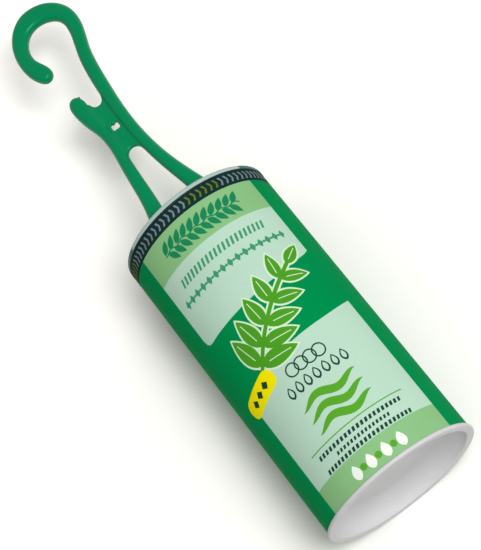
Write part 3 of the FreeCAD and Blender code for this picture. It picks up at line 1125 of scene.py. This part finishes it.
# Powers that shape the print: under 1, a line or a leaf is fuller, and a leaf is widest nearer its root
TAPER_FULLNESS = 0.7
LEAF_FULLNESS = 0.85
LEAF_FORWARD = 0.8
POINT_SHARE = 0.04  # a tapered line's width at its ends, as a share of its full width


@dataclass(frozen=True)
class Row:
    """A printed mark and how it is repeated round the tube, in millimetres.

    The mark's outlines are drawn about its own centre; one inside another is a hole.
    """

    ink: Ink
    mark: list[Outline]
    along: float
    first: float
    last: float
    count: int
    periods: int = 1


@dataclass
class Artwork:
    """The label's generic print, drawn flat: along the axis from the base, and round the tube.

    Distances are in millimetres and leaf_spread is in degrees.  Round the tube, zero is the middle
    of the front and the side hook's side is positive.
    """

    left: float = 25.5
    right: float = -27.5
    band: tuple[float, float] = (111.1, 118.0)
    leaf_pairs: int = 5
    leaf_length: float = 14.2
    leaf_share: float = 0.43
    leaf_spread: float = 57.0
    wave_count: int = 3
    wave_start: float = 22.0
    wave_pitch: float = 4.5
    layers: list[tuple[Ink, Outline]] = field(default_factory=list)

    def draw(self, half_round: float) -> list[tuple[Ink, Outline]]:
        """Printed shapes that don't repeat, from the lowest layer to the topmost.

        Args:
            half_round: half of the film's length round the tube.

        Returns:
            Each shape's ink and its outline.
        """
        self.panels(half_round)
        self.sprig()
        self.pill()
        self.waves()
        self.rule(18.0, 18.7, -20.2, 0.4, Ink.BRIGHT)
        self.add(Ink.FOREST, self.stroke(self.ripple(104.3, 15.8, -17.2, 0.45, 5.5), 0.5))
        return self.layers

    def rows(self) -> list[Row]:
        """Marks that repeat round the tube.

        Returns:
            A row for each kind of mark.
        """
        arrow = [self.chevron(3.3, 1.5, 0.85)]
        stroke = [self.bar(3.1, 0.85, 0.8)]
        dash = [self.bar(1.55, 0.95, 0.35)]
        seed = [self.leaf(Vector((-2.3, 0.0)), 0.0, 4.6, 2.7),
                self.leaf(Vector((-1.5, 0.0)), 0.0, 3.2, 1.6)]
        loop = [self.disc(2.5), self.disc(2.0)]
        return [
            Row(Ink.GREY, arrow, 113.9, 29.2, -0.4, 14, 4),
            Row(Ink.OLIVE, arrow, 113.9, -2.68, -14.1, 6, 4),
            Row(Ink.FOREST, [self.leaf(Vector((0.1, 1.4)), 35.0, 5.2, 2.3)], 104.3, 14.0, -16.0, 11),
            Row(Ink.FOREST, [self.leaf(Vector((-0.1, 1.4)), 145.0, 5.2, 2.3)], 104.3, 12.5, -14.5, 10),
            Row(Ink.SOFT, stroke, 92.6, 16.7, -18.4, 21),
            Row(Ink.SOFT, [self.diamond(3.4, 2.2)], 86.4, 20.6, -22.5, 15),
            Row(Ink.SOFT, [self.disc(0.5)], 86.4, 19.06, -20.96, 14),
            Row(Ink.DARK, loop, 43.6, 4.9, -5.9, 4),
            Row(Ink.DARK, seed, 37.7, 10.0, -11.6, 7),
            Row(Ink.DARK, dash, 15.5, 16.0, -17.0, 21),
            Row(Ink.DARK, [self.bar(1.25, 0.8, 0.3)], 12.8, 9.8, -10.6, 15),
            Row(Ink.DARK, dash, 10.3, 16.4, -17.6, 22),
            Row(Ink.WHITE, [self.leaf(Vector((-2.7, 0.0)), 0.0, 5.4, 3.3)], 3.9, 9.0, -9.0, 4),
            Row(Ink.BRIGHT, [self.disc(1.2)], 3.9, 6.0, -6.0, 3),
        ]

    def add(self, ink: Ink, outline: Outline) -> None:
        """Puts one shape on top."""
        self.layers.append((ink, outline))

    def bar(self, height: float, width: float, slant: float) -> Outline:
        """Leaning bar: its height runs along the tube."""
        return [(-height / 2, width / 2 + slant / 2), (-height / 2, -width / 2 + slant / 2),
                (height / 2, -width / 2 - slant / 2), (height / 2, width / 2 - slant / 2)]

    def chevron(self, height: float, width: float, thick: float) -> Outline:
        """Arrow-like mark that points round the tube.

        Args:
            height: its size along the tube.
            width: its size round the tube.
            thick: the thickness of its two arms.

        Returns:
            Its outline.
        """
        tall, wide = height / 2, width / 2
        return [(-tall, wide), (0.0, wide - thick), (tall, wide), (tall, wide - thick), (0.0, -wide),
                (-tall, wide - thick)]

    def diamond(self, height: float, width: float) -> Outline:
        """Diamond with its long axis along the tube."""
        return [(-height / 2, 0.0), (0.0, -width / 2), (height / 2, 0.0), (0.0, width / 2)]

    def disc(self, radius: float, corners: int = 28) -> Outline:
        """Round dot."""
        turns = [2 * math.pi * corner / corners for corner in range(corners)]
        return [(radius * math.cos(turn), -radius * math.sin(turn)) for turn in turns]

    def ripple(self, along: float, first: float, last: float, height: float, pitch: float) -> Outline:
        """Line round the tube that swings a little to either side.

        Args:
            along: the middle of the line, along the tube.
            first: where it starts round the tube.
            last: where it ends.
            height: how far it swings.
            pitch: from one swing to the next.

        Returns:
            Points of the line.
        """
        steps = int(abs(last - first) / pitch * 12)
        line = []
        for step in range(steps + 1):
            across = first + (last - first) * step / steps
            line.append((along + height * math.sin(2 * math.pi * across / pitch), across))
        return line

    def curve(self, points: Outline, steps: int = 8) -> Outline:
        """Smooth line through a few points, by Catmull-Rom pieces.

        Args:
            points: what the line goes through.
            steps: straight pieces between two of them.

        Returns:
            Points of the line.
        """
        ends = [points[0]] + points + [points[-1]]
        line = []
        for a, b, c, d in zip(ends, ends[1:], ends[2:], ends[3:]):
            for step in range(steps):
                t = step / steps
                line.append(tuple(
                    0.5 * (2 * b[k] + (c[k] - a[k]) * t + (2 * a[k] - 5 * b[k] + 4 * c[k] - d[k]) * t * t
                           + (3 * b[k] - a[k] - 3 * c[k] + d[k]) * t ** 3) for k in (0, 1)))
        return line + [points[-1]]

    def stroke(self, line: Outline, width: float, taper: bool = False) -> Outline:
        """Outline of a line drawn with some width.

        Args:
            line: points of the line.
            width: the line's width.
            taper: whether its ends run out to points.

        Returns:
            The closed outline.
        """
        one, other = [], []
        for index, point in enumerate(line):
            here = Vector(line[max(index - 1, 0)])
            there = Vector(line[min(index + 1, len(line) - 1)])
            across = (there - here).orthogonal().normalized()
            share = math.sin(math.pi * index / (len(line) - 1)) ** TAPER_FULLNESS if taper else 1.0
            half = across * width / 2 * max(share, POINT_SHARE)
            one.append(tuple(Vector(point) + half))
            other.append(tuple(Vector(point) - half))
        return one + other[::-1]

    def rule(self, along: float, first: float, last: float, width: float, ink: Ink) -> None:
        """Straight rule round the tube."""
        self.add(ink, [(along - width / 2, first), (along + width / 2, first),
                       (along + width / 2, last), (along - width / 2, last)])

    def panels(self, half_round: float) -> None:
        """Side green, the pale panels, the medium-green zones and the dark band.

        Args:
            half_round: half of the film's length round the tube.
        """
        left, right = self.left, self.right
        lower, upper = self.band
        self.add(Ink.SIDE, [(-2.0, half_round), (-2.0, -half_round), (120.0, -half_round),
                            (120.0, half_round)])
        upper_edge = self.curve([(70.9, 22.0), (71.3, 10.0), (72.4, -5.0), (73.9, -15.0),
                                 (75.3, -21.0), (76.4, -25.0), (77.6, right)])
        corner = [(74.0, left), (72.2, 25.0), (71.2, 23.9)]
        self.add(Ink.PALE, [(98.6, left)] + corner + upper_edge + [(98.6, right)])
        self.add(Ink.MEDIUM, [(98.3, left), (98.3, right), (lower + 0.5, right), (lower + 0.5, left)])
        lower_edge = self.curve([(45.8, left), (49.6, 14.0), (51.2, 0.0), (52.4, -15.0), (54.5, right)])
        self.add(Ink.PALE, [(8.8, right), (8.8, left)] + lower_edge)
        self.add(Ink.MEDIUM, [(-2.0, left), (9.2, left), (9.2, right), (-2.0, right)])
        self.add(Ink.BAND, [(lower, half_round), (lower, -half_round), (upper, -half_round),
                            (upper, half_round)])

    def pill(self) -> None:
        """Yellow pill with three bold diamonds, tilted across the panel's edge."""
        turn = Matrix.Rotation(math.radians(13), 2)
        shapes = [(Ink.YELLOW, rounded([(3.5, 9.2, 3.0), (3.5, -9.2, 3.0), (-3.5, -9.2, 3.0),
                                        (-3.5, 9.2, 3.0)], steps=6))]
        for shift in (-4.0, 0.0, 4.0):
            shapes.append((Ink.DARK, [(along, across + shift) for along, across in self.diamond(3.2, 3.2)]))
        for ink, outline in shapes:
            self.add(ink, [tuple(Vector((45.7, 19.8)) + turn @ Vector(point)) for point in outline])

    def leaf(self, root: Vector, angle: float, length: float, width: float) -> Outline:
        """Almond-shaped leaf.

        Args:
            root: where it leaves the stem.
            angle: its direction in degrees, 0 along the tube.
            length: from root to tip.
            width: at its widest.

        Returns:
            Its outline.
        """
        steps = 12
        side = []
        for step in range(steps + 1):
            share = step / steps
            swell = math.sin(math.pi * share ** LEAF_FORWARD) ** LEAF_FULLNESS if 0 < step < steps else 0.0
            side.append((length * share, width / 2 * swell))
        points = side + [(along, -across) for along, across in side[-2:0:-1]]
        turn = Matrix.Rotation(math.radians(-angle), 2)
        return [tuple(root + turn @ Vector(point)) for point in points]

    def sprig(self) -> None:
        """Broad-leaved sprig laid diagonally, each leaf with a pale outline and a midrib.

        Each leaf is kept as its root, its heading in degrees, its length and its width.
        """
        stem = self.curve([(50.6, 13.0), (58.5, 5.5), (67.5, -5.0), (76.0, -17.0)], 16)
        leaves = []
        for index in range(self.leaf_pairs):
            at = Vector(stem[3 + index * 9])
            ahead = Vector(stem[4 + index * 9]) - at
            heading = math.degrees(math.atan2(-ahead.y, ahead.x))
            length = self.leaf_length - index
            spread = self.leaf_spread - 2 * index
            for angle in (heading - spread, heading + spread):
                leaves.append((at, angle, length, self.leaf_share * length))
        leaves.append((Vector(stem[-3]), heading, 9.6, 4.4))
        turns = [math.radians(angle) for _, angle, _, _ in leaves]
        ways = [Vector((math.cos(turn), -math.sin(turn))) for turn in turns]
        self.add(Ink.OUTLINE, self.stroke(stem, 2.6))
        for (root, angle, length, width), away in zip(leaves, ways):
            self.add(Ink.OUTLINE, self.leaf(root - away * 0.9, angle, length + 1.8, width + 1.3))
        self.add(Ink.LEAF, self.stroke(stem, 1.4))
        for (root, angle, length, width), away in zip(leaves, ways):
            self.add(Ink.LEAF, self.leaf(root, angle, length, width))
            vein = [tuple(root + away * length * share) for share in (0.22, 0.5, 0.82)]
            self.add(Ink.OUTLINE, self.stroke(vein, 0.3))

    def waves(self) -> None:
        """Three bold wave lines, like folds of cloth."""
        for row in range(self.wave_count):
            line = self.ripple(self.wave_start + row * self.wave_pitch, 10.8, -11.8, 1.3, 15.0)
            self.add(Ink.BRIGHT, self.stroke(line, 2.9, taper=True))


@dataclass
class LabelSleeve:
    """The printed film round the tube, with its generic print and its overlap at the back."""

    thickness: float = 0.12
    overlap: float = 4.0
    overlap_rise: float = 0.1
    sunk: float = -0.02
    ink_rise: float = 0.03
    facet: float = 1.25
    cut_tolerance: float = 1e-4
    art_start: float = 0.1
    span: Span = field(default_factory=lambda: span_of("label_sleeve"))

    @property
    def half_round(self) -> float:
        """Half of the film's length round the tube."""
        return math.pi * self.span.radius

    def build(self, inks: dict[Ink, bpy.types.Material]) -> bpy.types.Object:
        """Wraps the film, its glued overlap and its repeating marks on the tube.

        Args:
            inks: the material of each ink.

        Returns:
            The film as one piece with a material for each ink.
        """
        artwork = Artwork()
        layers = artwork.draw(self.half_round)
        order = list(dict.fromkeys(ink for ink, _ in layers))
        film = self.shell("label_film", [outline for _, outline in layers],
                          lambda owners: order.index(layers[max(owners)][0]), (-self.thickness, 0.0))
        lap = [layer for layer in layers if layer[0] in (Ink.SIDE, Ink.BAND)][:2]
        edge = self.half_round - self.overlap
        strips = [[(along, max(across, edge)) for along, across in outline] for _, outline in lap]
        seam = self.shell("seam", strips, max, (self.sunk, self.overlap_rise))
        for mesh, used in ((film, order), (seam, [ink for ink, _ in lap])):
            for ink in used:
                mesh.materials.append(inks[ink])
        marks = [self.row(row, inks[row.ink]) for row in artwork.rows()]
        joined = merged("label_film", [film, seam] + marks)
        smooth(joined, sharp_degrees=50.0)
        return new_object("label_film", joined)

    def row(self, row: Row, material: bpy.types.Material) -> bpy.types.Mesh:
        """One row of marks: the first is wrapped on the top of the tube, the rest are repeated.

        Args:
            row: the mark and its places.
            material: its ink.

        Returns:
            All marks of the row.
        """
        outlines = [[(along + row.along, across) for along, across in outline] for outline in row.mark]
        mark = self.shell("mark", outlines, lambda owners: 0 if len(owners) % 2 else None,
                          (self.sunk, self.ink_rise))
        degrees = 180 / math.pi / self.span.radius
        step = (row.last - row.first) / max(row.count - 1, 1)
        marks = Repeat(row.count, -step * degrees, start_degrees=-row.first * degrees)
        mesh = marks.made_from(mark, self.span.axis_z, material)
        if row.periods > 1:
            mesh = Repeat(row.periods, 360 / row.periods).made_from(mesh, self.span.axis_z, material)
        LOG.info("label row at %.1f mm: %d marks in %s", row.along, row.count * row.periods, material.name)
        return mesh

    def shell(self, name: str, outlines: list[Outline], chosen: Callable[[list[int]], int | None],
              rise: tuple[float, float]) -> bpy.types.Mesh:
        """Cuts flat outlines and wraps them on the tube as a thin closed shell.

        Args:
            name: the mesh's name.
            outlines: flat shapes that may overlap.
            chosen: picks a material's number for the outlines that cover a spot, or None for a hole.
            rise: the shell's lower and upper face, from the film's outer face.

        Returns:
            The shell, in metres.
        """
        length = self.span.end - self.span.start
        points, faces, edges = [], [], []
        for outline in outlines:
            start = len(points)
            area = sum(a[0] * b[1] - b[0] * a[1] for a, b in zip(outline, outline[1:] + outline[:1]))
            for along, across in (outline if area > 0 else outline[::-1]):
                points.append(Vector((min(max(along - self.art_start, 0.0), length),
                                      min(max(across, -self.half_round), self.half_round))))
            faces.append(list(range(start, len(points))))
        # Lines along the tube cut the film into facets that follow the curve
        alongs = [point.x for point in points]
        acrosses = [point.y for point in points]
        first, last = math.ceil(min(acrosses) / self.facet), math.floor(max(acrosses) / self.facet)
        for step in range(first, last + 1):
            points += [Vector((min(alongs), step * self.facet)), Vector((max(alongs), step * self.facet))]
            edges.append((len(points) - 2, len(points) - 1))
        flat, _, triangles, _, _, owners = delaunay_2d_cdt(
            points, edges, faces, ONLY_INSIDE, self.cut_tolerance)
        # The triangles make a lower and an upper face, and their free edges the walls between the two
        count = len(flat)
        shell = [self.wrapped(point, height) for height in rise for point in flat]
        skin, paint, rim = [], [], {}
        for corners, owner in zip(triangles, owners):
            ink = chosen(owner) if owner else None
            if ink is None:
                continue
            skin += [list(corners), [index + count for index in reversed(corners)]]
            paint += [ink, ink]
            for a, b in zip(corners, corners[1:] + corners[:1]):
                rim[(a, b)] = ink
        for (a, b), ink in rim.items():
            if (b, a) not in rim:
                skin.append([b, a, a + count, b + count])
                paint.append(ink)
        mesh = mesh_from(name, shell, skin)
        mesh.polygons.foreach_set("material_index", paint)
        return mesh

    def wrapped(self, point: Vector, rise: float) -> Vector:
        """Place on the tube of a point of the flat film.

        Args:
            point: along and round the film.
            rise: how far above the film's outer face.

        Returns:
            The point in the part's frame, in millimetres.
        """
        turn = point.y / self.span.radius
        away = self.span.radius + rise
        return Vector((self.span.start + point.x, away * math.sin(turn),
                       self.span.axis_z + away * math.cos(turn)))

    def dress(self) -> None:
        """Gives each ink its material, all under one matt laminate."""
        # Printed film with a matt laminate: flat saturated inks, hardly any gloss
        inks = {ink: PrintedFilm(f"printed_film_{ink.name.lower()}", ink.value, roughness=0.5,
                                 specular=0.005).material() for ink in Ink}
        place(self.build(inks), Body.COVER, "label_sleeve")


# ---- studio -------------------------------------------------------------------------------------


@dataclass
class Studio:
    """Plain pale floor, soft light and the camera.

    Sizes are in metres, apart from the lens and the sensor, and the lamp's power is in watts.  The
    floor's glow is seen only directly, so it lights nothing.  Each of glow_near and glow_far is
    a distance from the part's middle and the glow's strength there.
    """

    eye: Point = (-0.25218, -0.000461, 0.58050)
    ahead: Point = (0.38485, -0.00097, -0.92298)
    image_up: Point = (0.72386, -0.62011, 0.30247)
    lens: float = 112.31
    sensor: float = 36.0
    floor_colour: str = "#F3F1EE"
    floor_reach: float = 4.0
    floor_height: float = -2e-5
    glow_colour: str = "#FFFBF5"
    glow_near: tuple[float, float] = (0.14, 0.43)
    glow_far: tuple[float, float] = (0.7, 1.0)
    shade_reach: float = 0.08
    shade_depth: float = 3.0
    shade_samples: int = 4
    sky_light: float = 0.24
    lamp_at: Point = (-0.34, -0.27, 1.05)
    lamp_aim: Point = (0.0, 0.0, 0.02)
    lamp_size: float = 0.5
    lamp_power: float = 10.0

    def camera(self) -> None:
        """Places the camera by its view direction and its up direction."""
        data = bpy.data.cameras.new("camera")
        data.lens = self.lens
        data.sensor_width = self.sensor
        data.clip_start = 0.01
        camera = bpy.data.objects.new("camera", data)
        ahead = Vector(self.ahead).normalized()
        right = ahead.cross(Vector(self.image_up)).normalized()
        up = right.cross(ahead)
        turn = Matrix((right, up, -ahead)).transposed().to_4x4()
        camera.matrix_world = Matrix.Translation(Vector(self.eye)) @ turn
        bpy.context.scene.collection.objects.link(camera)
        bpy.context.scene.camera = camera

    def floor(self) -> None:
        """Wide pale floor that takes the part's shadow.

        Its glow stands for the light of white surroundings, so it dims where the part is near.
        """
        mesh = bpy.data.meshes.new("floor")
        reach, low = self.floor_reach, self.floor_height
        mesh.from_pydata([(-reach, -reach, low), (reach, -reach, low), (reach, reach, low),
                          (-reach, reach, low)], [], [(0, 1, 2, 3)])
        floor = new_object("floor", mesh)
        # Matt background paper: near white, without gloss, so that soft shadows show on it
        material = bpy.data.materials.new("white_paper_sweep")
        material.use_nodes = True
        tree = material.node_tree
        tree.nodes.clear()
        base = add_node(tree, "ShaderNodeBsdfDiffuse", {"Color": linear(self.floor_colour)})
        place_of = add_node(tree, "ShaderNodeTexCoord").outputs["Object"]
        away = add_node(tree, "ShaderNodeVectorMath", {0: place_of}, operation="LENGTH")
        fade = add_node(tree, "ShaderNodeMapRange", {
            "Value": away.outputs["Value"], "From Min": self.glow_near[0], "From Max": self.glow_far[0],
            "To Min": self.glow_near[1], "To Max": self.glow_far[1]})
        near = add_node(tree, "ShaderNodeAmbientOcclusion", {"Distance": self.shade_reach},
                        samples=self.shade_samples)
        shade = add_node(tree, "ShaderNodeMath", {0: near.outputs["AO"], 1: self.shade_depth},
                         operation="POWER")
        share = add_node(tree, "ShaderNodeMath", {0: fade.outputs[0], 1: shade.outputs[0]},
                         operation="MULTIPLY")
        glow = add_node(tree, "ShaderNodeEmission", {
            "Color": linear(self.glow_colour), "Strength": self.seen_directly(tree, share.outputs[0])})
        both = add_node(tree, "ShaderNodeAddShader", {0: base.outputs[0], 1: glow.outputs[0]})
        add_node(tree, "ShaderNodeOutputMaterial", {"Surface": both.outputs[0]})
        mesh.materials.append(material)

    def seen_directly(self, tree: bpy.types.NodeTree,
                      strength: float | bpy.types.NodeSocket) -> bpy.types.NodeSocket:
        """Strength of a glow that only the camera, and gloss and glass, see.

        Args:
            tree: the material's or the world's node tree.
            strength: how strong it is where it is seen.

        Returns:
            The strength for every ray.
        """
        path = add_node(tree, "ShaderNodeLightPath").outputs
        seen = add_node(tree, "ShaderNodeMath", {0: path["Is Camera Ray"], 1: path["Is Glossy Ray"]},
                        operation="MAXIMUM")
        seen = add_node(tree, "ShaderNodeMath", {0: seen.outputs[0], 1: path["Is Transmission Ray"]},
                        operation="MAXIMUM")
        return add_node(tree, "ShaderNodeMath", {0: seen.outputs[0], 1: strength},
                        operation="MULTIPLY").outputs[0]

    def world(self) -> None:
        """Even sky light, white where it is seen directly."""
        world = bpy.data.worlds.new("studio")
        world.use_nodes = True
        tree = world.node_tree
        tree.nodes.clear()
        extra = self.seen_directly(tree, 1.0 - self.sky_light)
        glow = add_node(tree, "ShaderNodeMath", {0: extra, 1: self.sky_light}, operation="ADD")
        sky = add_node(tree, "ShaderNodeBackground", {
            "Color": linear("#FFFFFF"), "Strength": glow.outputs[0]})
        add_node(tree, "ShaderNodeOutputWorld", {"Surface": sky.outputs[0]})
        bpy.context.scene.world = world

    def lamp(self) -> None:
        """One square soft lamp, high on the base's side and away from the side hook."""
        data = bpy.data.lights.new("key", "AREA")
        data.shape = "SQUARE"
        data.size = self.lamp_size
        data.energy = self.lamp_power
        lamp = bpy.data.objects.new("key", data)
        lamp.location = self.lamp_at
        aim = Vector(self.lamp_aim) - Vector(self.lamp_at)
        lamp.rotation_euler = aim.to_track_quat("-Z", "Y").to_euler()
        bpy.context.scene.collection.objects.link(lamp)

    def build(self) -> None:
        """Builds the whole studio."""
        self.camera()
        self.floor()
        self.world()
        self.lamp()
        bpy.context.scene.view_settings.view_transform = "Standard"
        LOG.info("studio: camera, floor and lamp")


def main() -> None:
    """Builds the pieces in order."""
    logging.basicConfig(level=logging.INFO, format="%(message)s")
    handle = HookHandle()
    handle.dress(handle.build())
    FlangeAndSpindle().dress()
    RollerHub().dress()
    Refill().dress()
    tube = CoverTube()
    tube.dress(tube.build())
    plug = BasePlug()
    plug.dress(plug.build())
    LabelSleeve().dress()
    Studio().build()


if __name__ == "__main__":
    main()
